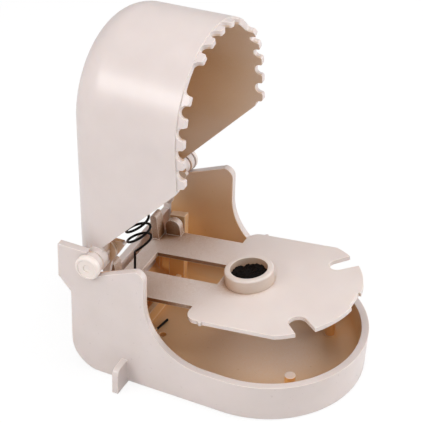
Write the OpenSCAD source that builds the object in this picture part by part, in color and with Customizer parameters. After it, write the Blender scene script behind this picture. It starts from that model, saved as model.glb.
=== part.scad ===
// Snap mouse trap with a hooded jaw, drawn in the set position.
// X runs across the trap, -Y is the front where the mouse comes in, and +Z is up.
// The origin lies on the underside, midway along the base and on its centre line.

/* [Base] */
// Outer width of the base
base_w = 50; // [46:0.5:56]
// Length of the base from its round front to its rear wall
base_l = 64.4; // [62:0.2:72]
// Thickness of the base's side walls
base_wall = 1.8; // [1.4:0.1:2.2]
// Narrowing of each side of the base from the rim down to the ground
base_draft = 0.45; // [0:0.05:1]
// Round along the base's lower edge
foot_round = 0.5; // [0.3:0.1:1.5]
// Round between the floor and the walls, on the inside
floor_round = 4; // [1:0.25:5]
// Thickness of the floor
floor_t = 1.6; // [1.2:0.1:2.4]
// Height of the low front rim
rim_h = 10; // [8.5:0.25:11]
// Height of the rear wall
rear_wall_h = 16.6; // [14:0.2:18]
// Round of the lower rear corner, seen from the side
rear_round = 8; // [5:0.5:10]

/* [Cheeks] */
// Length of a cheek from the rear wall to its upright front edge
cheek_l = 19.1; // [17:0.1:21]
// Height of a cheek where its sloping top meets the front edge
cheek_h = 34.6; // [33:0.2:37]
// Slope of the cheek's top edge in degrees
cheek_slope = 24; // [20:1:28]
// Round between the cheek's top and its front edge
cheek_round = 2.4; // [1:0.2:4]
// Radius of the sweep from the cheek down to the rim
sweep_r = 15.2; // [13:0.2:17]
// How far the ear behind each cheek stands past the rear wall
ear_l = 3.3; // [2:0.1:5]
// Height of the ear's flat top above the floor line
ear_h = 35; // [33.5:0.25:37]
// Height of the ear's upright rear edge
ear_edge = 9; // [6:0.25:11]
// Height of the ear's sloping underside
ear_slope_h = 3.8; // [2:0.2:6]

/* [Hinge] */
// Distance from the rear wall forward to the jaw's hinge
hinge_from_rear = 5; // [4.6:0.1:6]
// Height of the jaw's hinge above the ground
hinge_z = 31.5; // [30.5:0.1:32]
// Radius of the hinge pins
pin_r = 1.6; // [1.2:0.1:1.8]
// Running clearance round a pin in its eye
pin_gap = 0.06; // [0.04:0.01:0.1]
// Radius of the round pin heads
head_r = 3.1; // [2.8:0.1:3.6]
// Thickness of the pin heads
head_t = 1.4; // [1:0.1:2]
// Radius of the eyes in the cheeks
eye_r = 2.8; // [2.6:0.1:3.2]

/* [Jaw] */
// Outer width of the jaw
jaw_w = 44; // [41:0.5:44.5]
// Distance from the hinge forward to the jaw's round front, lying flat
jaw_reach = 54.8; // [52:0.2:57]
// Depth from the hinge line down to the tips of the teeth, lying flat
jaw_drop = 23.8; // [22.5:0.1:24]
// Height of the jaw's roof above the hinge line, lying flat
jaw_rise = 7.4; // [6:0.2:9]
// Wall thickness of the jaw
jaw_wall = 1.6; // [1.2:0.1:2]
// Slope of the jaw's roof in degrees, falling towards the round front
roof_slope = 1.6; // [0:0.2:2]
// Round along the edge of the roof
roof_round = 9; // [6:0.5:11]
// Narrowing of each side from the mouth up to the roof's round
jaw_draft = 0.7; // [0:0.1:1.2]
// Straight length of each side, from the rear corner to the round front
side_l = 6.8; // [4:0.2:9]
// Angle in degrees between the set jaw and the jaw lying flat
jaw_open = 93; // [86:1:94]

/* [Teeth] */
// Number of tooth places round the mouth
tooth_places = 17; // [13:2:19]
// Place, counted from either corner, that is left without a tooth
gap_place = 5; // [3:1:6]
// Length of a tooth
tooth_h = 1.9; // [1.2:0.1:2.4]
// Radius of the round valleys between the teeth
valley_r = 1.35; // [1:0.05:1.5]
// Thickness of a tooth
tooth_t = 1.3; // [0.9:0.1:1.6]
// Step from the jaw's outer face in to the teeth
tooth_step = 0.45; // [0.2:0.05:0.8]

/* [Pedal] */
// Thickness of the pedal plate
pedal_t = 1.1; // [0.9:0.1:2]
// Height of the pedal's pivot above the ground
pivot_z = 19.6; // [19:0.1:20]
// Distance from the rear wall forward to the pedal's pivot
pivot_from_rear = 8; // [7.8:0.1:9.2]
// Depth from the pivot down to the middle of the pedal plate
plate_drop = 2.8; // [2.4:0.1:3]
// Upward tilt of the set pedal in degrees
pedal_tilt = 7.6; // [5:0.2:9]
// Width of the paddle
paddle_w = 38.2; // [36:0.2:38.8]
// Radius of the paddle's round front
paddle_r = 20.6; // [19.6:0.1:21.4]
// Distance from the pivot to the front edge of the paddle
paddle_reach = 54.3; // [52:0.1:55]
// Distance from the pivot to the rear shoulders of the paddle
shoulder_reach = 18.3; // [17:0.1:20]
// Outer width across the two arms
arms_w = 28.2; // [26:0.2:29]
// Width of the slot between the arms
slot_w = 8.2; // [7:0.1:11]
// Distance from the pivot to the slot's front end
slot_reach = 20; // [16:0.2:20.2]
// Radius of the pivot stubs
stub_r = 1.2; // [0.9:0.1:1.4]
// Radius of the notches' round inner ends
notch_r = 2.2; // [1.8:0.1:2.6]
// Height of the catch fingers above the plate
finger_h = 7.4; // [5:0.1:7.4]

/* [Bait cup] */
// Distance from the pivot to the centre of the bait cup
cup_reach = 26.8; // [26.4:0.1:29]
// Outer radius of the bait cup
cup_r = 6; // [5:0.1:6.4]
// Wall thickness of the bait cup
cup_wall = 1.45; // [1:0.05:1.8]
// Height of the cup's ring above the pedal
cup_h = 3.4; // [2.5:0.1:5]
// Depth of the free space above the bait
bait_free = 1.5; // [0.6:0.1:2]

/* [Spring] */
// Radius of the spring wire
wire_r = 0.3; // [0.22:0.02:0.36]
// Radius of the coil to the middle of the wire
coil_r = 3; // [2:0.1:3]
// Number of turns
coil_turns = 8; // [6:1:12]
// Distance of the spring from the centre line
spring_x = 15.4; // [15:0.1:16.4]
// Height where the straight leg meets the coil
leg_top_z = 31.6; // [30:0.2:33]

/* [Hidden] */
$fn = 64;
eps = 0.01;
cream = "#DDD1C9";
wire_black = "#1B1513";
bait_brown = "#231913";

// Base: places along Y and in height that follow from the sizes above
front_y = -base_l / 2;
rear_y = base_l / 2;
base_r = base_w / 2;
bow_y = front_y + base_r;
inner_r = base_r - base_wall;
cheek_y = rear_y - cheek_l;
sweep_y = cheek_y - sweep_r;
sweep_z = rim_h + sweep_r;
rear_wall_t = 1.6;
fin_t = 1.5;
fin_l = 5.2;
fin_h = 6.8;
fin_y = rear_y - 14;
fin_round = 1.6;
peg_r = 1.3;
peg_h = 7.1;
rib_l = 26;
rib_t = 1.2;
rib_h = 3.4;
rib_gap = 3.6;
wall_rib_x = 14.6;
wall_rib_t = 1.6;
wall_rib_d = 1.7;
wall_rib_z = rear_round - sqrt(pow(rear_round, 2) - pow(rear_round - rear_wall_t + 0.1, 2)) + 0.25;

// Hinge: the axis, and what sits along it from the centre outwards
hinge_y = rear_y - hinge_from_rear;
cheek_in = base_r - base_wall;
head_gap = 0.2;
head_in = base_r + head_gap;
head_out = head_in + head_t;
head_ring = 0.8;
head_dish = 0.2;
head_round = 0.6;
dimple_r = 0.9;

// Jaw, lying flat with the hinge at its origin: places along Y and in height
jaw_r = jaw_w / 2;
jaw_in = jaw_r - jaw_wall;
bow_c = jaw_r - jaw_reach;
corner_y = bow_c + side_l;
lip_z = tooth_h - jaw_drop;
tail_y = 2;
slope_y = -8;
side_end = -3.2;
edge_shift = 1.5;
corner_r = 0.8;
arm_t = 2.6;
arm_step = 0.7;
skin = 0.05;
arm_front = 1.5;
arm_behind = 0.5;
boss_r = 3.2;
collar_r = 2.6;
collar_gap = 0.4;
lug_t = 1.2;
lug_gap = 0.8;
lug_out = jaw_in - arm_t - lug_gap;
lug_in = lug_out - lug_t;
nose_r = 0.9;
lug_back = 5;
nose_reach = 6.8;
ring_r = jaw_r - tooth_step - tooth_t / 2;
bow_l = PI * ring_r;
mouth_l = 2 * side_l + bow_l;
tooth_pitch = mouth_l / (tooth_places - 1);
tooth_w = tooth_pitch - 2 * valley_r;
tip_r = 0.5;
tooth_root = 0.5;

// Pedal, lying flat with its pivot at the origin: distances forward of the pivot
pivot_y = rear_y - pivot_from_rear;
arm_out = arms_w / 2;
bracket_t = 2;
bracket_gap = 0.8;
bracket_in = arm_out + bracket_gap;
bracket_out = bracket_in + bracket_t;
bracket_l = 4.2;
bracket_rise = 2.4;
slot_rear = -0.4;
cross_l = 4.8;
ear_w = 1.8;
ear_top = 2;
shoulder_r = 3;
nub_y = 22.6;
nub_r = 0.5;
notch_x = 12.3;
notch_d = paddle_reach - 9.8;
notch_mouth = [[13.8, notch_d + 5.3], [17.1, notch_d + 1.7]];
notch_run = 8;
dent_w = 6;
dent_d = 0.8;
finger_w = 3.2;
finger_in = 9.4;
finger_t = 1.8;
finger_d = 3.5;
cup_gap = 0.05;
cup_floor = 1;
cup_lip = 0.7;
cup_round = 0.5;
peg_x = notch_x + 0.3;
peg_back = 1;
peg_y = pivot_y - notch_d * cos(pedal_tilt) - plate_drop * sin(pedal_tilt) + peg_back;

// Spring: the route of the wire, from the foot on the floor up to the jaw's hook
foot_z = floor_t + wire_r + 0.2;
leg_from_rear = 11.9;
foot_run = 1.8;
leg_y = rear_y - leg_from_rear;
foot_y = leg_y - foot_run;
foot_end = 1.5;
leg_turn = 1.2;
staple_t = 1.6;
staple_w = 2.6;
staple_h = 2.4;
staple_gap = 0.12;
hook_y = -28.5;
hook_z = 0.9;
hook_top = jaw_rise - 2;
hook_r = 0.8;
hook_t = 2;
hook_half = 1.7;
wire_sides = 6;
curl_rings = 8;

// Point on the spring's foot, from its free end at 0 to its turn into the leg at 1
function foot_pt(u) = [
    -foot_end + (foot_end + leg_turn - spring_x) * u,
    foot_y + (leg_y - foot_y) * u,
    foot_z
];
foot_turn = atan((leg_y - foot_y) / (foot_end + leg_turn - spring_x));

// Where a point (y, z) of the flat jaw lies with the jaw set
function set_y(y, z) = hinge_y + y * cos(jaw_open) + z * sin(jaw_open);
function set_z(y, z) = hinge_z - y * sin(jaw_open) + z * cos(jaw_open);

// ---------------------------------------------------------------- base

// Half of a body's cross section, turned round a bow and run straight back to the rear
module bowed(bow, rear) {
    translate([0, bow, 0]) {
        rotate_extrude($fn = 128) children();
        rotate([90, 0, 180]) linear_extrude(rear - bow) {
            children();
            mirror([1, 0]) children();
        }
    }
}

// Half section of the tub: draft up to the rim, upright above it, and a round at the foot
module tub_section(r, low, round_r) {
    foot = r - base_draft - round_r;
    translate([0, low]) {
        polygon([
            [0, 0],
            [foot, 0],
            [foot + round_r, round_r],
            [r, rim_h - low],
            [r, cheek_h + ear_l],
            [0, cheek_h + ear_l]
        ]);
        translate([foot, round_r]) circle(round_r);
    }
}

// Side view of the tub: everything that the walls may fill, in Y and Z
module side_view() {
    slope_drop = (cheek_l - hinge_from_rear) * tan(cheek_slope);
    difference() {
        union() {
            translate([front_y - 1, 0]) square([base_l + 1, rim_h]);
            translate([sweep_y, 0]) square([rear_y - sweep_y, sweep_z]);
            polygon([
                [cheek_y, rim_h],
                [cheek_y, cheek_h],
                [hinge_y, cheek_h - slope_drop],
                [rear_y, cheek_h - slope_drop],
                [rear_y, rim_h]
            ]);
            polygon([
                [hinge_y + 0.7, sweep_z],
                [hinge_y + 0.7, ear_h],
                [rear_y + ear_l, ear_h],
                [rear_y + ear_l, ear_h - ear_edge],
                [rear_y, ear_h - ear_edge - ear_slope_h],
                [hinge_y + 0.7, ear_h - ear_edge - ear_slope_h]
            ]);
            translate([hinge_y, hinge_z]) circle(eye_r);
        }
        translate([sweep_y, sweep_z]) circle(sweep_r, $fn = 128);
        translate([front_y - 2, sweep_z]) square([cheek_y - front_y + 2, cheek_h]);
        // square corner taken off before the round is put back
        corner_round(cheek_y, cheek_h - cheek_round * tan(cheek_slope), cheek_round);
        translate([rear_y - rear_round, 0]) rear_corner();
    }
}

// The sliver outside the round at the cheek's top front corner
module corner_round(y, z, r) {
    difference() {
        translate([y - 1, z - r]) square([r + 1, 2 * r]);
        translate([y + r, z - r]) circle(r);
        translate([y + r, z - 2 * r]) square([r, 3 * r]);
    }
}

// The sliver outside the round at the lower rear corner
module rear_corner() {
    difference() {
        translate([0, -1]) square([rear_round + 1, rear_round + 1]);
        translate([0, rear_round]) circle(rear_round);
    }
}

// A side view drawn in Y and Z, made into a solid between two places along X
module across(x0, x1) {
    translate([x0, 0, 0]) rotate([90, 0, 90]) linear_extrude(x1 - x0) children();
}

module mirrored() {
    children();
    mirror([1, 0, 0]) children();
}

module tub_shell() {
    difference() {
        intersection() {
            bowed(bow_y, rear_y) tub_section(base_r, 0, foot_round);
            across(-base_r - 1, base_r + 1) side_view();
        }
        difference() {
            bowed(bow_y, rear_y - rear_wall_t) tub_section(inner_r, floor_t, floor_round);
            across(-base_r, base_r) rear_fillet();
        }
        translate([-inner_r, rear_y - rear_wall_t - 1, rear_wall_h]) {
            cube([2 * inner_r, ear_l + rear_wall_t + 5, cheek_h]);
        }
    }
}

// Floor material that follows the lower rear round at the floor's thickness
module rear_fillet() {
    inside = rear_round - floor_t;
    translate([rear_y - rear_round, floor_t - eps]) {
        difference() {
            square([inside + eps, inside]);
            translate([0, inside]) circle(inside);
        }
    }
}

// The ear that stands behind a cheek, in line with its wall
module ear() {
    across(cheek_in, base_r) intersection() {
        side_view();
        translate([rear_y - 1, ear_h - ear_edge - ear_slope_h - 1]) square([ear_l + 2, cheek_h]);
    }
}

// Bracket beside the pedal's arm, with the bore that carries the pivot stub
module bracket() {
    difference() {
        across(bracket_in, bracket_out) {
            translate([pivot_y - bracket_l / 2, floor_t - eps]) {
                polygon([
                    [0, 0],
                    [bracket_l, 0],
                    [bracket_l, pivot_z - floor_t + bracket_rise - 0.8],
                    [0, pivot_z - floor_t + bracket_rise]
                ]);
            }
        }
        pivot_bore();
    }
}

module pivot_bore() {
    translate([bracket_in - 1, pivot_y, pivot_z]) rotate([0, 90, 0]) {
        cylinder(h = bracket_t + 2, r = stub_r + pin_gap);
    }
}

// Fin beside the base that keeps the trap from tipping over
module fin() {
    translate([base_r - base_draft - 0.8, fin_y - fin_t / 2, 0]) {
        difference() {
            cube([fin_l + 0.8, fin_t, fin_h]);
            translate([fin_l + 0.8 - fin_round, -1, fin_h - fin_round]) {
                difference() {
                    cube([fin_round + 1, fin_t + 2, fin_round + 1]);
                    rotate([-90, 0, 0]) cylinder(h = fin_t + 2, r = fin_round);
                }
            }
        }
    }
}

// Low cross ribs that stiffen the floor behind the spring's foot
module floor_ribs() {
    for (i = [0, 1]) {
        translate([-rib_l / 2, leg_y + 1.6 + i * rib_gap, floor_t - eps]) {
            cube([rib_l, rib_t, rib_h * (1 - i / 2)]);
        }
    }
}

// Upright rib on the inside of the rear wall
module wall_rib() {
    translate([wall_rib_x, rear_y - rear_wall_t - wall_rib_d, wall_rib_z]) {
        cube([wall_rib_t, wall_rib_d + 0.1, rear_wall_h - wall_rib_z - 1.6]);
    }
}

// Staples on the floor that hold the spring's foot
module staples() {
    for (u = [0.55, 0.85]) {
        translate(foot_pt(u)) rotate(foot_turn) difference() {
            translate([-staple_t / 2, -staple_w / 2, floor_t - foot_z - eps]) {
                cube([staple_t, staple_w, staple_h]);
            }
            translate([-staple_t, 0, 0]) rotate([0, 90, 0]) {
                cylinder(h = 2 * staple_t, r = wire_r + staple_gap);
            }
        }
    }
}

module base() {
    color(cream) difference() {
        union() {
            tub_shell();
            mirrored() ear();
            mirrored() bracket();
            mirrored() fin();
            mirrored() wall_rib();
            mirrored() translate([peg_x, peg_y, floor_t - eps]) {
                cylinder(h = peg_h - floor_t + eps, r = peg_r);
            }
            floor_ribs();
            staples();
        }
        mirrored() translate([cheek_in - 1, hinge_y, hinge_z]) rotate([0, 90, 0]) {
            cylinder(h = base_wall + 2, r = pin_r + pin_gap);
        }
        // small drain hole in the floor
        translate([-6.6, rear_y - 15, -1]) cylinder(h = floor_t + 2, r = 0.9);
    }
}

// ---------------------------------------------------------------- jaw

// Half of the jaw's cross section, for a side at half width r under a roof at height top
module jaw_section(r, top, round_r, low) {
    side = r - jaw_draft;
    polygon([
        [0, low],
        [r, low],
        [side, top - round_r],
        [0, top - round_r]
    ]);
    square_to(side - round_r, top - round_r, top);
    intersection() {
        translate([side - round_r, top - round_r]) circle(round_r, $fn = 96);
        translate([0, top - round_r]) square([side, round_r]);
    }
}

module square_to(w, z0, z1) {
    translate([0, z0 - eps]) square([w + eps, z1 - z0 + eps]);
}

// What the jaw keeps in side view: the sides end on a slope that runs up to the hinge
module jaw_side_view(low) {
    corner_z = low + corner_r;
    round_y = corner_z - edge_shift - corner_r * sqrt(2);
    off = corner_r / sqrt(2);
    polygon([
        [-jaw_reach - 1, low],
        [round_y, low],
        [round_y + off, corner_z - off],
        [side_end, side_end + edge_shift],
        [side_end, -side_end],
        [tail_y, -side_end],
        [tail_y, jaw_rise + 1],
        [-jaw_reach - 1, jaw_rise + 1]
    ]);
    translate([round_y, corner_z]) circle(corner_r);
}

// Outline of a tooth, standing on the lip with round valleys on both sides
module tooth_outline() {
    half = tooth_pitch / 2;
    difference() {
        translate([-half, -tooth_root]) square([tooth_pitch, tooth_root + valley_r]);
        for (s = [-1, 1]) {
            translate([s * half, valley_r]) circle(valley_r);
        }
    }
    translate([-tooth_w / 2, -tooth_root]) square([tooth_w, tooth_root + tooth_h - tip_r]);
    translate([tip_r - tooth_w / 2, 0]) square([tooth_w - 2 * tip_r, tooth_h]);
    for (s = [-1, 1]) {
        translate([s * (tooth_w / 2 - tip_r), tooth_h - tip_r]) circle(tip_r);
    }
}

module tooth_block() {
    translate([ring_r - tooth_t / 2, 0, lip_z]) rotate([-90, 0, -90]) {
        linear_extrude(tooth_t) tooth_outline();
    }
}

// One tooth at its place along the mouth, measured from the left corner
module tooth(s) {
    turn = (s - side_l) / ring_r * 180 / PI;
    if (s < side_l) {
        translate([0, corner_y - s, 0]) rotate(180) tooth_block();
    } else if (s > side_l + bow_l) {
        translate([0, bow_c + s - side_l - bow_l, 0]) tooth_block();
    } else {
        translate([0, bow_c, 0]) rotate(180 + turn) tooth_block();
    }
}

module teeth() {
    far_gap = tooth_places - 1 - gap_place;
    for (i = [0 : tooth_places - 1]) {
        if (i != gap_place && i != far_gap) {
            tooth(i * tooth_pitch);
        }
    }
}

// Hinge block below the jaw's side, upright when the trap is set, and the collar beside the cheek
module hinge_arm() {
    intersection() {
        across(jaw_in - arm_t, jaw_in + arm_step) rotate(jaw_open) {
            translate([-arm_front, -boss_r]) square([arm_front + boss_r + arm_behind, boss_r - side_end + 1]);
        }
        hood(jaw_r - skin, jaw_rise - skin, roof_round - skin);
    }
    translate([jaw_in, 0, 0]) rotate([0, 90, 0]) {
        cylinder(h = cheek_in - collar_gap - jaw_in, r = collar_r);
    }
}

// Catch lug beside the arm, which points down over the pedal's rear when the trap is set
module catch_lug() {
    across(lug_in, jaw_in - arm_t + eps) rotate(jaw_open) {
        circle(boss_r);
    }
    across(lug_in, lug_out) rotate(jaw_open) {
        polygon([
            [0.75 * boss_r, 0.8 * boss_r],
            [-lug_back + 0.6, 0.9 * boss_r],
            [-lug_back, 0.7 * boss_r],
            [-0.7 * lug_back, -0.4],
            [-1.4, -nose_reach + 2.9],
            [-nose_r, -nose_reach],
            [nose_r, -nose_reach],
            [0.75 * boss_r, -boss_r / 2]
        ]);
        translate([0, -nose_reach]) circle(nose_r);
    }
}

// Lug under the roof with the hole for the spring's upper hook
module spring_lug() {
    translate([-spring_x - hook_t / 2, 0, 0]) difference() {
        across(0, hook_t) {
            translate([hook_y - hook_half, hook_z]) square([2 * hook_half, hook_top - hook_z]);
            translate([hook_y, hook_z]) circle(hook_half);
        }
        translate([-1, hook_y, hook_z]) rotate([0, 90, 0]) cylinder(h = hook_t + 2, r = hook_r);
    }
}

// The hood as a solid, leaning a little so that its roof falls towards the front
module hood(r, top, round_r) {
    translate([0, slope_y, lip_z]) rotate([roof_slope, 0, 0]) translate([0, -slope_y, -lip_z]) {
        bowed(bow_c, tail_y + 2) jaw_section(r, top, round_r, -jaw_drop - 2);
    }
}

module jaw_flat() {
    difference() {
        union() {
            difference() {
                hood(jaw_r, jaw_rise, roof_round);
                hood(jaw_in, jaw_rise - jaw_wall, roof_round - jaw_wall);
                across(-jaw_r - 1, jaw_r + 1) difference() {
                    translate([-jaw_reach - 4, -jaw_drop - 8]) square(2 * jaw_reach);
                    jaw_side_view(lip_z);
                }
            }
            intersection() {
                teeth();
                across(-jaw_r, jaw_r) jaw_side_view(-jaw_drop);
            }
            mirrored() hinge_arm();
            mirrored() catch_lug();
            spring_lug();
        }
        mirrored() translate([jaw_in - arm_t, 0, 0]) rotate([0, 90, 0]) {
            cylinder(h = cheek_in, r = pin_r);
        }
    }
}

module jaw() {
    color(cream) translate([0, hinge_y, hinge_z]) rotate([-jaw_open, 0, 0]) jaw_flat();
}

// ---------------------------------------------------------------- hinge pins

// Half section of a disc or ring whose outer top edge is round
module rounded_rim(r_in, r_out, h, round_r) {
    translate([r_in, 0]) square([r_out - r_in, h - round_r]);
    translate([r_in, 0]) square([r_out - r_in - round_r, h]);
    translate([r_out - round_r, h - round_r]) circle(round_r);
}

// A pin pushed in from outside: shank through the eye into the jaw, round dished head
module hinge_pin() {
    translate([0, hinge_y, hinge_z]) rotate([0, 90, 0]) difference() {
        union() {
            translate([0, 0, jaw_in - arm_t]) cylinder(h = head_in - jaw_in + arm_t + eps, r = pin_r);
            translate([0, 0, head_in]) rotate_extrude() rounded_rim(0, head_r, head_t, head_round);
        }
        translate([0, 0, head_out - head_dish]) cylinder(h = 1, r = head_r - head_ring);
        translate([0, 0, head_out - 2 * head_dish]) cylinder(h = 1, r = dimple_r);
    }
}

module hinge_pin_right() {
    color(cream) hinge_pin();
}

module hinge_pin_left() {
    color(cream) mirror([1, 0, 0]) hinge_pin();
}

// ---------------------------------------------------------------- pedal

// Outline of the pedal from above: x across, y is the distance forward of the pivot
module pedal_plan() {
    half = paddle_w / 2;
    difference() {
        union() {
            intersection() {
                translate([0, paddle_reach - paddle_r]) circle(paddle_r, $fn = 128);
                translate([-half, shoulder_reach + shoulder_r]) square([paddle_w, paddle_reach]);
            }
            translate([-half, shoulder_reach + shoulder_r]) {
                square([paddle_w, paddle_reach - paddle_r - shoulder_reach - shoulder_r]);
            }
            translate([shoulder_r - half, shoulder_reach]) square([paddle_w - 2 * shoulder_r, 2 * shoulder_r]);
            for (s = [-1, 1]) {
                translate([s * (half - shoulder_r), shoulder_reach + shoulder_r]) circle(shoulder_r);
                translate([s * half, nub_y]) circle(nub_r, $fn = 24);
            }
            translate([-arm_out, -cross_l]) square([arms_w, cross_l + shoulder_reach + 1]);
        }
        translate([-slot_w / 2, slot_rear]) square([slot_w, slot_reach - slot_rear]);
        for (s = [0, 1]) {
            mirror([s, 0]) notch();
        }
        translate([-dent_w / 2, paddle_reach - dent_d]) square([dent_w, dent_d + 1]);
        translate([0, cup_reach]) circle(cup_r - cup_wall);
    }
}

// A side notch: round at its inner end, wider where it opens on the paddle's edge
module notch() {
    along = notch_mouth[0] - notch_mouth[1];
    out = [along[1], -along[0]] / norm(along) * notch_run;
    translate([notch_x, notch_d]) circle(notch_r);
    polygon([
        [notch_x - 1.7, notch_d + 1.4],
        notch_mouth[0],
        notch_mouth[0] + out,
        notch_mouth[1] + out,
        notch_mouth[1],
        [notch_x + 1.55, notch_d - 1.55]
    ]);
}

// Ear that stands on an arm of the pedal, with the stub that turns in the bracket
module pivot_ear() {
    across(arm_out - ear_w, arm_out) {
        translate([-ear_top, -plate_drop]) square([2 * ear_top, plate_drop]);
        circle(ear_top);
    }
    translate([arm_out - ear_w, 0, 0]) rotate([0, 90, 0]) {
        cylinder(h = bracket_out + 0.2 - arm_out + ear_w, r = stub_r);
    }
}

// Finger that turns up behind the pivot
module finger() {
    translate([finger_in, finger_d - finger_t / 2, -pedal_t / 2 - plate_drop]) {
        cube([finger_w, finger_t, finger_h - finger_t / 2 + pedal_t / 2]);
        translate([0, finger_t / 2, finger_h - finger_t / 2 + pedal_t / 2]) rotate([0, 90, 0]) {
            cylinder(h = finger_w, r = finger_t / 2);
        }
    }
}

module on_pedal() {
    translate([0, pivot_y, pivot_z]) rotate([-pedal_tilt, 0, 0]) children();
}

module pedal() {
    color(cream) on_pedal() {
        translate([0, 0, -pedal_t / 2 - plate_drop]) {
            linear_extrude(pedal_t) mirror([0, 1]) pedal_plan();
        }
        mirrored() {
            finger();
            pivot_ear();
        }
    }
}

// ---------------------------------------------------------------- bait cup and bait

module on_cup() {
    on_pedal() translate([0, -cup_reach, -plate_drop]) children();
}

// Cup with a ring above the pedal and a tube that plugs down through it
module bait_cup() {
    plug_r = cup_r - cup_wall - cup_gap;
    low = -pedal_t / 2 - cup_lip;
    color(cream) on_cup() difference() {
        union() {
            translate([0, 0, pedal_t / 2]) rotate_extrude() rounded_rim(0, cup_r, cup_h, cup_round);
            translate([0, 0, low]) cylinder(h = cup_lip + pedal_t + 1, r = plug_r);
        }
        translate([0, 0, low + cup_floor]) cylinder(h = cup_h + pedal_t + 2, r = plug_r - 0.6);
        translate([0, 0, pedal_t / 2 + 0.8]) cylinder(h = cup_h + 1, r = cup_r - cup_wall);
    }
}

// Bait pressed into the cup, with an uneven top
module bait() {
    low = -pedal_t / 2 - cup_lip + cup_floor;
    top = pedal_t / 2 + cup_h - bait_free;
    color(bait_brown) on_cup() {
        translate([0, 0, low]) cylinder(h = pedal_t / 2 + 0.8 - low, r = cup_r - cup_wall - cup_gap - 0.6);
        translate([0, 0, pedal_t / 2 + 0.8 - eps]) {
            cylinder(h = top - pedal_t / 2 - 0.8 - 0.5, r = cup_r - cup_wall);
        }
        for (i = [0 : 5]) {
            translate([2.4 * cos(60 * i), 2.4 * sin(60 * i), top - 1]) cylinder(h = 0.8 + 0.1 * (i % 3), r = 1.3);
        }
    }
}

// ---------------------------------------------------------------- spring

// Coil axis, from the leg's top to just below the hook on the jaw
hook_pt = [-spring_x, set_y(hook_y, hook_z), set_z(hook_y, hook_z)];
coil_ahead = 1.2;
coil_above = 3.2;
hook_ahead = 3.2;
hook_above = 3.4;
coil_start = [-spring_x, leg_y - coil_ahead, leg_top_z + coil_above];
coil_end = hook_pt - [0, hook_ahead, hook_above];
coil_lean = 28;
coil_sag = 1.6;
side_dir = [-1, 0, 0];
back_dir = [0, cos(coil_lean), -sin(coil_lean)];

// Point on the coil after t turns
function coil_pt(t) = coil_start + (coil_end - coil_start) * t / coil_turns
    - [0, 4 * coil_sag * t / coil_turns * (1 - t / coil_turns), 0]
    - coil_r * (cos(360 * t) * back_dir + sin(360 * t) * side_dir);

// Points of the route: foot, leg, coil, and the hook through the jaw's lug
lead_share = 0.66;
tail_rings = 2;
foot_pts = [for (i = [0 : 6]) foot_pt(i / 6)];
turn_pts = [
    for (a = [30 : 30 : 90]) [
        -spring_x + leg_turn * (1 - sin(a)),
        leg_y,
        foot_z + leg_turn * (1 - cos(a))
    ]
];
leg_pts = [
    for (i = [1 : 5]) [-spring_x, leg_y, foot_z + leg_turn + (leg_top_z - foot_z - leg_turn) * i / 5]
];
leg_top = [-spring_x, leg_y, leg_top_z];
coil_pts = concat(
    [leg_top + lead_share * (coil_pt(-1 / curl_rings) - leg_top)],
    [for (i = [0 : coil_turns * curl_rings + tail_rings]) coil_pt(i / curl_rings)]
);
hook_pts = [
    hook_pt + [hook_t / 2 + 0.5, 0.3, -2.5],
    hook_pt + [hook_t / 2 + 1.6, 0.4, -1.4],
    hook_pt + [hook_t / 2 + 1.4, 0.1, -0.3],
    hook_pt + [hook_t / 2 + 0.4, 0, 0],
    hook_pt - [hook_t / 2 + 0.4, 0, 0],
    hook_pt - [hook_t / 2 + 1, 0, 0]
];
route = concat(foot_pts, turn_pts, leg_pts, coil_pts, hook_pts);

function unit(v) = v / norm(v);
function tangent(p, i) = unit(p[min(i + 1, len(p) - 1)] - p[max(i - 1, 0)]);

// Each ring keeps the last ring's direction as far as the bend allows, so the tube never twists
function carry(n, t) = unit(n - (n * t) * t);
function frames(p, i, n) = i == len(p) ? [] : let (m = carry(n, tangent(p, i))) concat([m], frames(p, i + 1, m));
function ring(p, t, n, r) = [
    for (k = [0 : wire_sides - 1]) let (a = 360 * k / wire_sides)
        p + r * (cos(a) * n + sin(a) * cross(t, n))
];

// Least distance between the wire's faces where two turns pass each other
coil_gap = min([
    for (i = [0 : len(coil_pts) - 1]) for (j = [i + 5 : len(coil_pts) - 1])
        norm(coil_pts[i] - coil_pts[j])
]) - 2 * wire_r;
echo(least_gap_between_turns = coil_gap);

module spring() {
    normals = frames(route, 0, [0, 0, 1]);
    count = len(route);
    points = [
        for (i = [0 : count - 1]) each ring(route[i], tangent(route, i), normals[i], wire_r)
    ];
    walls = [
        for (i = [0 : count - 2]) for (k = [0 : wire_sides - 1])
            let (a = i * wire_sides + k, b = i * wire_sides + (k + 1) % wire_sides)
                each [[a, b, b + wire_sides], [a, b + wire_sides, a + wire_sides]]
    ];
    last = (count - 1) * wire_sides;
    start_cap = [for (k = [1 : wire_sides - 2]) [0, k + 1, k]];
    end_cap = [for (k = [1 : wire_sides - 2]) [last, last + k, last + k + 1]];
    color(wire_black) polyhedron(points, concat(walls, start_cap, end_cap));
}

base();
jaw();
hinge_pin_left();
hinge_pin_right();
pedal();
bait_cup();
bait();
spring();
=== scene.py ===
# %% [markdown]
# # A plastic snap mouse trap, step by step
# The trap is a small clamshell: a round-fronted tub, a toothed jaw that stands open
# at the back, a flat pedal with a bait cup, and one thin wire spring.
# Its solid parts come ready-made from the CAD frame, and they are never moved or
# reshaped here. This lesson gives them their plastic, models the wire and the bait
# again, which CAD draws too plainly, and sets up the light and the camera.

# %% Load the frame
import math
import bpy
import bmesh
from mathutils import Matrix, Vector


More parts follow.
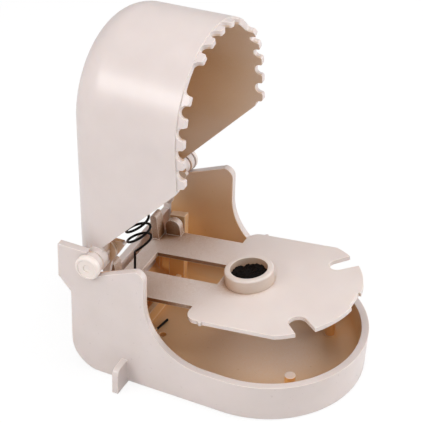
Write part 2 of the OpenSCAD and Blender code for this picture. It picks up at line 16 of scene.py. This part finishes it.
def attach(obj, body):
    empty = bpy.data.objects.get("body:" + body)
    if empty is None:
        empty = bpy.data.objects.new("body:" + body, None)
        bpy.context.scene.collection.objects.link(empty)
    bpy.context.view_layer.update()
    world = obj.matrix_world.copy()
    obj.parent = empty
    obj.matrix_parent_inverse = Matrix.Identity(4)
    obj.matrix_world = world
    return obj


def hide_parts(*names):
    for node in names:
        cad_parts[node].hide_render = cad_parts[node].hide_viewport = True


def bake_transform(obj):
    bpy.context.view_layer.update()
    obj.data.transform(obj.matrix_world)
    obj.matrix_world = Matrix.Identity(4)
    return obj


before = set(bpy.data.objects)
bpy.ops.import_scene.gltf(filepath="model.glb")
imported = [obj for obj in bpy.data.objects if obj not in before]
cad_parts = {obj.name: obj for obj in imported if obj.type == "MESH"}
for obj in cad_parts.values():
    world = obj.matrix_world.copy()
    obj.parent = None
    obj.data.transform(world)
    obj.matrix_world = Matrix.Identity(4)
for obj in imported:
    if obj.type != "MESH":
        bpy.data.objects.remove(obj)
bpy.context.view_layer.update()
MM = 0.001  # the frame is in metres, and the sizes below are in millimetres

# %% [markdown]
# ## Small helpers
# Colours are picked as sRGB hex values, as in any paint program, but shaders work
# with linear light. One function turns the first into the second.
# Nodes could be placed one by one in the shader editor. Here a second function adds
# a node in one line, which keeps every material short enough to read. A socket gets
# either another node's output, which makes a link, or a fixed value. Everything
# else is a setting of the node itself, and a colour ramp also takes its stops.

# %% Colour and node helpers
def linear(hex_colour):
    parts = [int(hex_colour[i:i + 2], 16) / 255 for i in (1, 3, 5)]
    light = [c / 12.92 if c <= 0.04045 else ((c + 0.055) / 1.055) ** 2.4 for c in parts]
    return (*light, 1.0)


def add(tree, kind, sockets=None, stops=(), **settings):
    node = tree.nodes.new(kind)
    for name, value in settings.items():
        setattr(node, name, value)
    for name, value in (sockets or {}).items():
        if isinstance(value, bpy.types.NodeSocket):
            tree.links.new(value, node.inputs[name])
        else:
            node.inputs[name].default_value = value
    if stops:
        elements = node.color_ramp.elements
        while len(elements) < len(stops):
            elements.new(1.0)
        for element, (position, colour) in zip(elements, stops):
            element.position = position
            element.color = linear(colour)
    return node


def new_material(name):
    material = bpy.data.materials.new(name)
    material.use_nodes = True
    material.node_tree.nodes.clear()
    return material, material.node_tree


print("mid grey #808080 is", round(linear("#808080")[0], 3), "in linear light")

# %% [markdown]
# ## The plastic
# The tub, jaw, pedal, cup and pins are injection moulded in high-impact
# polystyrene, a cheap and tough plastic. From a polished mould it comes out satin:
# broad soft highlights, no mirror. A very faint flow mottling keeps wide faces from
# looking like paper.
#
# Light that gets into a hollow bounces from wall to wall, and the plastic keeps a
# little of its blue and green each time, so the insides turn to warm tan while the
# outsides stay a cool cream. That could be left to many more light bounces, or be
# painted on by hand. Here it is painted shade: an occlusion node is quicker and
# follows the shape. It measures how open each spot is, and a colour ramp turns that
# into the painted tan shade.
#
# The edges of a thin moulding catch light and let it through, so they look a little
# paler. That light is painted into the colour as a highlight: a bevel node rounds
# the normal near an edge, and where it differs from the face's own normal the
# colour gets its painted highlight.

# %% Sizes of the plastic's surface
FLOW_MM = 9              # width of the faint clouds that the melt leaves as it flows
ORANGE_PEEL_MM = 0.9     # ripple of the mould's polish, drawn coarse so that it shows
PEEL_DEPTH_MM = 0.02
PEEL_STRENGTH = 0.06
PEEL_ROUGHNESS = (-0.02, 0.03)  # how far the ripple moves the roughness, down and up
EDGE_ROUND_MM = 0.3      # radius of a moulded edge
EDGE_TURN = (0.99, 0.8)  # cosine between face and rounded edge: no painted highlight yet, full painted highlight
EDGE_HIGHLIGHT_SHARE = 0.7          # how far a thin edge goes towards its painted highlight colour
EDGE_HIGHLIGHT_COLOUR = "#FFF3EA"
HOLLOW_MM = 45           # how far a spot looks for walls around it, for its painted shade
SHINE_THROUGH_MM = 0.8   # how far light wanders under the skin
SAMPLES = 8              # rays for each look around
print("edges are rounded by", EDGE_ROUND_MM, "mm, hollows are felt over", HOLLOW_MM, "mm")

# %% [markdown]
# The painted tan shade belongs to the inner faces only, but both faces of a wall are in one
# mesh.
# A second material slot would mean a change to the CAD mesh, which stays as it is.
# The tub and the jaw both have U-shaped walls, though, so a mask can be worked out
# from the place alone: ahead of the bow's centre the distance counts in all
# directions, behind it only sideways. The mask ends between the wall's two faces.
# The jaw is turned down flat about its hinge first, which makes it lie like the tub.

# %% A mask for the painted shade between the walls
HINGE = Vector((0, 27.2, 31.5))  # the jaw's axis
JAW_OPEN = math.radians(93)      # from the jaw lying flat to the set jaw
# The tub's inner face is at 23.2 and its outer face at 24.5 or more. Its rear wall
# starts at 30.4.
TUB_INSIDE = dict(bow_y=-7.2, wall_r=23.5, rear_y=30.0)
# The jaw's inner face is at 19.7 to 20.4 and its outer face at 21.3 to 22. It has
# no rear wall, so the last number only has to lie behind it.
JAW_INSIDE = dict(bow_y=-5.6, wall_r=20.8, rear_y=60.0, lay_flat=JAW_OPEN)


def inside_walls(tree, place, bow_y, wall_r, rear_y, lay_flat=0.0):
    flat = add(tree, "ShaderNodeVectorRotate", rotation_type="X_AXIS",
               sockets={"Vector": place, "Center": HINGE * MM, "Angle": lay_flat})
    x, y, _ = add(tree, "ShaderNodeSeparateXYZ", {0: flat.outputs[0]}).outputs
    ahead = add(tree, "ShaderNodeMath", {0: y, 1: bow_y * MM}, operation="SUBTRACT")
    bow = add(tree, "ShaderNodeMath", {0: ahead.outputs[0], 1: 0.0}, operation="MINIMUM")
    spot = add(tree, "ShaderNodeCombineXYZ", {"X": x, "Y": bow.outputs[0]})
    reach = add(tree, "ShaderNodeVectorMath", {0: spot.outputs[0]}, operation="LENGTH")
    within = add(tree, "ShaderNodeMath", {0: reach.outputs["Value"], 1: wall_r * MM},
                 operation="LESS_THAN")
    before = add(tree, "ShaderNodeMath", {0: y, 1: rear_y * MM}, operation="LESS_THAN")
    both = add(tree, "ShaderNodeMath", {0: within.outputs[0], 1: before.outputs[0]},
               operation="MULTIPLY")
    return both.outputs[0]


print("the tub's mask is", 2 * TUB_INSIDE["wall_r"], "mm wide, the jaw's",
      2 * JAW_INSIDE["wall_r"], "mm")

# %% Moulded polystyrene
def moulded_polystyrene(name, light, shade, roughness, painted_shade_stops, alone=True, walls=None,
                        blend="MULTIPLY"):
    material, tree = new_material(name)
    place = add(tree, "ShaderNodeTexCoord").outputs["Object"]
    # The cream, with its flow mottling
    flow = add(tree, "ShaderNodeTexNoise",
               {"Vector": place, "Scale": 1 / (FLOW_MM * MM), "Detail": 3.0})
    cream = add(tree, "ShaderNodeValToRGB", {"Fac": flow.outputs["Fac"]},
                stops=((0.3, shade), (0.7, light)))
    # The painted shade of the hollows, a warm tan standing in for bounced light
    around = add(tree, "ShaderNodeAmbientOcclusion", {"Distance": HOLLOW_MM * MM},
                 samples=SAMPLES, only_local=alone)
    painted_shade = add(tree, "ShaderNodeValToRGB", {"Fac": around.outputs["AO"]}, stops=painted_shade_stops)
    share = inside_walls(tree, place, **walls) if walls else 1.0
    body = add(tree, "ShaderNodeMix", data_type="RGBA", blend_type=blend, sockets={
        "Factor": share, "A": cream.outputs["Color"], "B": painted_shade.outputs["Color"]})
    # The painted highlight on the edges
    rounded = add(tree, "ShaderNodeBevel", {"Radius": EDGE_ROUND_MM * MM}, samples=SAMPLES)
    face = add(tree, "ShaderNodeNewGeometry")
    turned = add(tree, "ShaderNodeVectorMath", operation="DOT_PRODUCT",
                 sockets={0: rounded.outputs["Normal"], 1: face.outputs["Normal"]})
    edge_highlight = add(tree, "ShaderNodeMapRange", {
        "Value": turned.outputs["Value"], "From Min": EDGE_TURN[0], "From Max": EDGE_TURN[1],
        "To Max": EDGE_HIGHLIGHT_SHARE})
    lit = add(tree, "ShaderNodeMix", data_type="RGBA", sockets={
        "Factor": edge_highlight.outputs["Result"], "A": body.outputs["Result"], "B": linear(EDGE_HIGHLIGHT_COLOUR)})
    # The ripple of the mould's polish
    peel = add(tree, "ShaderNodeTexNoise",
               {"Vector": place, "Scale": 1 / (ORANGE_PEEL_MM * MM), "Detail": 2.0})
    satin = add(tree, "ShaderNodeMapRange", {
        "Value": peel.outputs["Fac"], "To Min": roughness + PEEL_ROUGHNESS[0],
        "To Max": roughness + PEEL_ROUGHNESS[1]})
    ripple = add(tree, "ShaderNodeBump", {
        "Height": peel.outputs["Fac"], "Normal": rounded.outputs["Normal"],
        "Strength": PEEL_STRENGTH, "Distance": PEEL_DEPTH_MM * MM})
    plastic = add(tree, "ShaderNodeBsdfPrincipled", {
        "Base Color": lit.outputs["Result"], "Roughness": satin.outputs["Result"],
        "Normal": ripple.outputs["Normal"], "IOR": 1.55, "Subsurface Weight": 0.15,
        "Subsurface Scale": SHINE_THROUGH_MM * MM, "Subsurface Radius": (1.0, 0.6, 0.35)})
    add(tree, "ShaderNodeOutputMaterial", {"Surface": plastic.outputs["BSDF"]})
    print(name, "has", len(tree.nodes), "nodes")
    return material


# %% [markdown]
# All the mouldings are the same plastic, but they lie in different company, and
# their painted shade follows it. The tub, the jaw and the pins look at themselves
# alone, because the floor below would darken their outer faces with painted shade.
# The pedal and its cup lie between the cheeks, so they look at everything around
# them, and the shade of the cheeks and the jaw over them is painted on them too. In
# each list of stops the first number says how open a spot is, from 0 deep in a
# corner to 1 in the open, and the colour is its painted shade. On the tub that
# colour replaces the cream, on the others it is multiplied with it.

# %% The five cream finishes and their painted shade
# Painted shade for each part: the tan and brown of light and shadow in its hollows
TUB_PAINTED_SHADE = ((0.3, "#ECB36C"), (0.42, "#EABB84"), (0.6, "#DEB68C"), (0.84, "#D9B692"),
           (0.97, "#D9CDC9"))
JAW_PAINTED_SHADE = ((0.3, "#ECBE84"), (0.55, "#F2DDBA"), (0.68, "#F8E6CE"), (0.86, "#FFFFFF"))
PEDAL_PAINTED_SHADE = ((0.3, "#8C6238"), (0.45, "#B48E6A"), (0.54, "#EFDCC8"), (0.62, "#FFFFFF"))
CUP_PAINTED_SHADE = ((0.15, "#C8925A"), (0.4, "#EAD8C6"), (0.55, "#F2EEE6"), (0.75, "#FFFFFF"))
PIN_PAINTED_SHADE = ((0.15, "#F4E2CC"), (0.45, "#FFFFFF"))
cream_tub = moulded_polystyrene("cream_polystyrene_tub", "#D9CDC9", "#D4C8C3", 0.28,
                                TUB_PAINTED_SHADE, walls=TUB_INSIDE, blend="MIX")
cream_jaw = moulded_polystyrene("cream_polystyrene_jaw", "#D9CDC9", "#D4C8C4", 0.3,
                                JAW_PAINTED_SHADE, walls=JAW_INSIDE)
cream_pedal = moulded_polystyrene("cream_polystyrene_pedal", "#DCD1CC", "#D8CCC7", 0.34,
                                  PEDAL_PAINTED_SHADE, alone=False)
cream_cup = moulded_polystyrene("cream_polystyrene_cup", "#DACFC9", "#D6CAC4", 0.34,
                                CUP_PAINTED_SHADE, alone=False)
cream_pin = moulded_polystyrene("cream_polystyrene_pin", "#ECE1DA", "#E6DAD3", 0.34, PIN_PAINTED_SHADE)

# %% [markdown]
# ## The wire's lacquer
# The wire is hard-drawn spring steel with a black lacquer. It reads as nearly
# black, with a thin light line along each turn. A metal shader would show the bare
# steel, so the lacquer is a plain dark coat with little shine. Fine streaks left by
# the drawing die break the light line up a little.

# %% Lacquered spring wire
STREAK_MM = 0.5


def lacquered_wire():
    material, tree = new_material("black_lacquered_wire")
    place = add(tree, "ShaderNodeTexCoord").outputs["Object"]
    streak = add(tree, "ShaderNodeTexNoise",
                 {"Vector": place, "Scale": 1 / (STREAK_MM * MM), "Detail": 4.0})
    black = add(tree, "ShaderNodeValToRGB", {"Fac": streak.outputs["Fac"]},
                stops=((0.3, "#040303"), (0.7, "#0E0A0A")))
    sheen = add(tree, "ShaderNodeMapRange",
                {"Value": streak.outputs["Fac"], "To Min": 0.3, "To Max": 0.45})
    lacquer = add(tree, "ShaderNodeBsdfPrincipled", {
        "Base Color": black.outputs["Color"], "Roughness": sheen.outputs["Result"],
        "IOR": 1.5, "Specular IOR Level": 0.1})
    add(tree, "ShaderNodeOutputMaterial", {"Surface": lacquer.outputs["BSDF"]})
    return material


wire_black = lacquered_wire()
print(wire_black.name, "has streaks of", STREAK_MM, "mm")

# %% [markdown]
# ## The bait's paste
# The bait is a dark paste pressed into the cup. It is matt and lumpy, with crumbs
# of about half a millimetre. Its lumps and larger crumbs are modelled further down.
# The finest ones would take very many faces, so the cells of a Voronoi pattern give
# them a bump and a darker rim. There is hardly any gloss.

# %% Bait paste
CRUMB_MM = 0.55
CRUMB_DEPTH_MM = 0.25


def dark_paste():
    material, tree = new_material("dark_bait_paste")
    place = add(tree, "ShaderNodeTexCoord").outputs["Object"]
    crumbs = add(tree, "ShaderNodeTexVoronoi", {"Vector": place, "Scale": 1 / (CRUMB_MM * MM)})
    brown = add(tree, "ShaderNodeValToRGB", {"Fac": crumbs.outputs["Distance"]},
                stops=((0.2, "#140B08"), (0.7, "#050303")))
    bumps = add(tree, "ShaderNodeBump", {
        "Height": crumbs.outputs["Distance"], "Strength": 0.7, "Distance": CRUMB_DEPTH_MM * MM})
    paste = add(tree, "ShaderNodeBsdfPrincipled", {
        "Base Color": brown.outputs["Color"], "Normal": bumps.outputs["Normal"],
        "Roughness": 0.6, "IOR": 1.45, "Specular IOR Level": 0.15})
    add(tree, "ShaderNodeOutputMaterial", {"Surface": paste.outputs["BSDF"]})
    return material


bait_dark = dark_paste()
print(bait_dark.name, "has crumbs of", CRUMB_MM, "mm")

# %% [markdown]
# ## Dress the CAD parts
# A CAD part keeps its shape. Only the material in its slot changes. The last two
# nodes get a new piece in their place further down, and are dressed all the same.

# %% Give each CAD part its finish
FINISH = {
    "base": cream_tub,
    "jaw": cream_jaw,
    "hinge_pin_left": cream_pin,
    "hinge_pin_right": cream_pin,
    "pedal": cream_pedal,
    "bait_cup": cream_cup,
    "bait": bait_dark,
    "spring": wire_black,
}


def dress(piece, material):
    piece.data.materials.clear()
    piece.data.materials.append(material)
    print(piece.name, "gets", material.name)


for node, finish in FINISH.items():
    dress(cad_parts[node], finish)

# %% [markdown]
# ## The spring
# The trap snaps shut by one piece of wire: a foot along the floor, a straight leg,
# eight open turns that pull on the jaw, and a hook through the jaw's lug. The CAD
# spring follows the same route coarsely. A Screw modifier could wind smooth turns,
# but they would neither lean nor sag like these, so the points of the whole wire
# are worked out one after the other. All lengths follow the CAD values.

# %% The coil
COIL_R = 3.0
TURNS = 8
TURN_POINTS = 24
QUARTER = TURN_POINTS // 4
COIL_START = Vector((-15.4, 19.1, 34.8))
HOOK = Vector((-15.4, 29.5903, 59.9138))  # the middle of the lug's hole
COIL_END = HOOK - Vector((0, 3.2, 3.4))
LEAN = math.radians(28)                   # the turns lean back by this
SAG = 1.6                                 # the coil's middle hangs forward by this


def coil_point(turn):
    share = turn / TURNS
    angle = 2 * math.pi * turn
    centre = COIL_START.lerp(COIL_END, share) - Vector((0, 4 * SAG * share * (1 - share), 0))
    back = Vector((0, math.cos(LEAN), -math.sin(LEAN)))
    side = Vector((-1, 0, 0))
    return centre - COIL_R * (math.cos(angle) * back + math.sin(angle) * side)


coil = [coil_point(i / TURN_POINTS) for i in range(TURN_POINTS * TURNS + QUARTER + 1)]
print("coil:", TURNS, "turns,", round((coil[-1] - coil[0]).length, 1), "mm from end to end")

# %% [markdown]
# The foot, the bend and the leg come before the coil, and the hook comes after it.
# The knee is the short strand that leaves the leg and eases into the first turn.

# %% The whole route
FOOT_Z = 2.1                               # the foot lies in the floor's staples
FOOT_TIP = Vector((-1.5, 18.5, FOOT_Z))
LEG = Vector((-15.4, 20.3, 31.6))          # the leg's upper end
LEG_LOW = Vector((LEG.x, LEG.y, FOOT_Z))   # the corner below it, if it were sharp
BEND_R = 1.2
KNEE_DROP = 0.9                            # the leg's last point lies this far below its end
EASE = 0.6                                 # below 1, the knee leaves the leg sooner
HOOK_BEND = ((1.5, 0.3, -2.5), (2.6, 0.4, -1.4), (2.4, 0.1, -0.3), (1.4, 0, 0),
             (-1.4, 0, 0), (-2, 0, 0))     # seen from the middle of the lug's hole

foot_end = LEG_LOW + Vector((BEND_R, 0, 0))
leg_start = LEG_LOW + Vector((0, 0, BEND_R))
bend_angles = [math.radians(degrees) for degrees in (22.5, 45, 67.5, 90)]
foot = [FOOT_TIP.lerp(foot_end, i / 6) for i in range(7)]
bend = [foot_end + BEND_R * Vector((-math.sin(a), 0, 1 - math.cos(a))) for a in bend_angles]
leg = [leg_start.lerp(LEG, i / 5) for i in range(1, 5)] + [LEG - Vector((0, 0, KNEE_DROP))]
knee = [LEG.lerp(coil_point((i - QUARTER) / TURN_POINTS), (i / QUARTER) ** EASE)
        for i in range(QUARTER)]
hook = [HOOK + Vector(offset) for offset in HOOK_BEND]
route = foot + bend + leg + knee + coil + hook
length = sum((b - a).length for a, b in zip(route, route[1:]))
print("the wire takes", len(route), "points and", round(length), "mm")

# %% [markdown]
# A curve with a round bevel draws the wire along those points, and is then made a
# mesh. When the jaw shuts, the foot and the leg stay with the tub while the hook
# goes round with the jaw.

# %% Draw the wire
WIRE_R = 0.3
WIRE_SIDES = 10

bpy.ops.object.select_all(action="DESELECT")
path = bpy.data.curves.new("spring_wire", "CURVE")
path.dimensions = "3D"
path.bevel_depth = WIRE_R * MM
path.bevel_resolution = WIRE_SIDES // 2 - 2
path.use_fill_caps = True
spline = path.splines.new("POLY")
spline.points.add(len(route) - 1)
for spot, point in zip(spline.points, route):
    spot.co = (*(point * MM), 1)
spring_wire = bpy.data.objects.new("spring_wire", path)
bpy.context.collection.objects.link(spring_wire)
bpy.context.view_layer.objects.active = spring_wire
spring_wire.select_set(True)
bpy.ops.object.convert(target="MESH")
bpy.ops.object.shade_smooth_by_angle(angle=math.radians(50))
dress(spring_wire, wire_black)
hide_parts("spring")
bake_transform(spring_wire)
print("spring wire:", len(spring_wire.data.vertices), "points")

# %% [markdown]
# ## The bait
# The CAD bait is a plain disc. Paste that is pressed in with a stick has a lumpy,
# torn top, which sticks to the ring all round. It could be sculpted, but a rule
# gives the same bait each time. It starts as a cylinder of the cup's inner width.
# The top face is inset a few times and subdivided, so that it has points to move,
# and two cloud textures then push those up and down, first in lumps and then in
# crumbs.

# %% Start the bait as a cylinder
CUP_INSIDE_R = 4.55
SLACK = 0.03                     # keeps the paste just off the ring's inner wall
PASTE_LOW, PASTE_TOP = 1.4, 2.2  # heights above the middle of the pedal plate

bpy.ops.object.select_all(action="DESELECT")
bpy.ops.mesh.primitive_cylinder_add(
    vertices=64, radius=(CUP_INSIDE_R - SLACK) * MM, depth=(PASTE_TOP - PASTE_LOW) * MM,
    location=(0, 0, (PASTE_TOP + PASTE_LOW) / 2 * MM))
paste = bpy.context.object
paste.name = "bait_paste"
bpy.ops.object.transform_apply(location=True, rotation=True, scale=True)
print("bait blank in mm:", [round(side / MM, 2) for side in paste.dimensions])

# %% Give the top its points
INSETS, INSET_MM = 5, 0.75


def pick_top(piece):
    bpy.ops.object.mode_set(mode="EDIT")
    bpy.ops.mesh.select_mode(type="FACE")
    bpy.ops.mesh.select_all(action="DESELECT")
    mesh = bmesh.from_edit_mesh(piece.data)
    for face in mesh.faces:
        face.select = face.normal.z > 0.9
    bmesh.update_edit_mesh(piece.data)


pick_top(paste)
for step in range(INSETS):
    bpy.ops.mesh.inset(thickness=INSET_MM * MM)
bpy.ops.mesh.poke()
pick_top(paste)
bpy.ops.mesh.subdivide(number_cuts=2)
bpy.ops.object.mode_set(mode="OBJECT")
almost_top = (PASTE_TOP - 0.01) * MM
top_points = [v.index for v in paste.data.vertices if v.co.z > almost_top]
print("the bait's top has", len(top_points), "points to move")

# %% [markdown]
# The texture may only move the top, so the points of the top go into a vertex
# group, and both Displace modifiers work on that group and along Z.

# %% Lumps and crumbs
ROUGHEN = (("lumps", 2.2, 1.3), ("crumbs", 0.7, 0.75))  # name, width and height in mm

paste.vertex_groups.new(name="top").add(top_points, 1.0, "REPLACE")
for label, width_mm, height_mm in ROUGHEN:
    clouds = bpy.data.textures.new(label, "CLOUDS")
    clouds.noise_scale = width_mm * MM
    clouds.noise_depth = 1
    push = paste.modifiers.new(label, "DISPLACE")
    push.texture = clouds
    push.vertex_group = "top"
    push.direction = "Z"
    push.mid_level = 0.55
    push.strength = height_mm * MM
    bpy.ops.object.modifier_apply(modifier=label)
heights = [paste.data.vertices[i].co.z / MM for i in top_points]
print("bait top from", round(min(heights), 2), "to", round(max(heights), 2),
      "mm above the plate's middle")

# %% [markdown]
# The cup lies in the pedal's plane, and the set pedal slopes up to the front. So the
# bait first moves to its place on a level pedal, and is then turned about the
# pedal's pivot. Both are done in edit mode, which keeps the object itself at the
# origin and unturned.

# %% Set it into the cup
PIVOT = Vector((0, 24.2, 19.6))   # the pedal's pivot
CUP = Vector((0, -26.8, -2.8))    # the cup's centre, seen from the pivot
TILT = math.radians(7.6)          # the set pedal slopes up to the front

bpy.ops.object.mode_set(mode="EDIT")
bpy.ops.mesh.select_all(action="SELECT")
bpy.ops.transform.translate(value=tuple((CUP + PIVOT) * MM))
bpy.ops.transform.rotate(value=TILT, orient_axis="X", center_override=tuple(PIVOT * MM))
bpy.ops.object.mode_set(mode="OBJECT")
bpy.ops.object.shade_smooth_by_angle(angle=math.radians(35))
dress(paste, bait_dark)
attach(paste, "pedal")
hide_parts("bait")
print("bait:", len(paste.data.polygons), "faces")

# %% [markdown]
# ## The floor
# The trap stands on a plain pale floor. A real studio floor is white paper that gets
# its own light. More light here would fall on the trap as well, so the floor glows
# by itself, but only for the camera. It lights the object as white paper would, and
# it keeps a soft shadow.

# %% Floor
FLOOR_DROP_MM = 0.2  # a hair below the trap, so that no two faces lie in one plane
PAPER_GLOW = 1.05
GLOW_SHARE = 0.8     # the rest is the paper itself, which carries the shadow

bpy.ops.object.select_all(action="DESELECT")
bpy.ops.mesh.primitive_plane_add(size=3, location=(0, 0, -FLOOR_DROP_MM * MM))
floor = bpy.context.object
floor.name = "floor"


def white_paper():
    material, tree = new_material("white_paper_floor")
    paper = add(tree, "ShaderNodeBsdfPrincipled", {
        "Base Color": linear("#EDEDED"), "Roughness": 0.9})
    seen = add(tree, "ShaderNodeLightPath").outputs["Is Camera Ray"]
    share = add(tree, "ShaderNodeMath", {0: seen, 1: GLOW_SHARE}, operation="MULTIPLY")
    glow = add(tree, "ShaderNodeEmission", {"Strength": PAPER_GLOW})
    blend = add(tree, "ShaderNodeMixShader",
                {0: share.outputs[0], 1: paper.outputs[0], 2: glow.outputs[0]})
    add(tree, "ShaderNodeOutputMaterial", {"Surface": blend.outputs[0]})
    return material


dress(floor, white_paper())

# %% [markdown]
# ## The room
# The world gives a dim, even light from all around, as the walls of a studio do.
# The camera itself sees plain white there. Light Path tells the two apart.

# %% World
ROOM_LIGHT = 0.38

world = bpy.data.worlds.new("studio")
bpy.context.scene.world = world
world.use_nodes = True
sky = world.node_tree
sky.nodes.clear()
room = add(sky, "ShaderNodeBackground", {"Color": linear("#FBF9F9"), "Strength": ROOM_LIGHT})
wall = add(sky, "ShaderNodeBackground", {"Color": linear("#FFFFFF"), "Strength": 1.0})
seen = add(sky, "ShaderNodeLightPath").outputs["Is Camera Ray"]
chosen = add(sky, "ShaderNodeMixShader", {0: seen, 1: room.outputs[0], 2: wall.outputs[0]})
add(sky, "ShaderNodeOutputWorld", {"Surface": chosen.outputs[0]})
print("the room gives", ROOM_LIGHT, "of full white")

# %% [markdown]
# ## The lamps
# Four soft boxes light the trap. The key stands behind it on the left and rounds
# the jaw, a wide one above evens out the top faces, a wide one in front reaches
# into the tub, and a weak one on the left lifts the shadows. Sun or point lamps
# would do too, but an area lamp's size sets how soft highlights and shadows are.

# %% Lamps
AIM = Vector((0, 0, 35)) * MM
LAMPS = (  # name, place in mm, size in mm, watts
    ("key_from_behind_left", (-340, 245, 305), (280, 150), 0.82),
    ("light_from_above", (-20, 0, 520), (260, 260), 0.82),
    ("light_from_the_front", (220, -380, 260), (260, 260), 1.33),
    ("fill_from_the_left", (-330, -100, 430), (200, 200), 0.54),
)
for name, place_mm, size_mm, watts in LAMPS:
    lamp = bpy.data.lights.new(name, "AREA")
    lamp.shape = "RECTANGLE"
    lamp.size, lamp.size_y = (side * MM for side in size_mm)
    lamp.energy = watts
    holder = bpy.data.objects.new(name, lamp)
    bpy.context.collection.objects.link(holder)
    holder.location = Vector(place_mm) * MM
    holder.rotation_euler = (AIM - holder.location).to_track_quat("-Z", "Y").to_euler()
    print(name, "stands", round((AIM - holder.location).length / MM), "mm away")

# %% [markdown]
# ## The camera
# The camera looks down at the trap from the left and a little ahead, with a long
# lens that keeps the sides nearly parallel. It could be turned by hand until the
# view is right. Here its three axes are worked out from a compass angle, a height
# angle and a slight roll, which say at once how it stands.

# %% Camera
AZIMUTH, ELEVATION, ROLL = (math.radians(a) for a in (-65.32, 35.12, 1.58))
CAMERA_AT = Vector((-316.91, -137.64, 282.72))
FOCAL_MM = 153.9

back = Vector((math.sin(AZIMUTH) * math.cos(ELEVATION),
               -math.cos(AZIMUTH) * math.cos(ELEVATION), math.sin(ELEVATION)))
right = Vector((math.cos(AZIMUTH), math.sin(AZIMUTH), 0))
up = back.cross(right)
across = right * math.cos(ROLL) + up * math.sin(ROLL)
upright = up * math.cos(ROLL) - right * math.sin(ROLL)
lens = bpy.data.cameras.new("camera")
lens.lens = FOCAL_MM
lens.sensor_width = 36
lens.sensor_fit = "HORIZONTAL"
lens.clip_start = 0.01
lens.clip_end = 20
camera = bpy.data.objects.new("camera", lens)
bpy.context.collection.objects.link(camera)
turn = Matrix((across, upright, back)).transposed().to_4x4()
camera.matrix_world = Matrix.Translation(CAMERA_AT * MM) @ turn
bpy.context.scene.camera = camera
print("the camera sees", round(math.degrees(lens.angle), 1), "degrees across")

# %% [markdown]
# ## View settings
# The Standard view shows colours as they were picked.

# %% View settings
bpy.context.scene.view_settings.view_transform = "Standard"
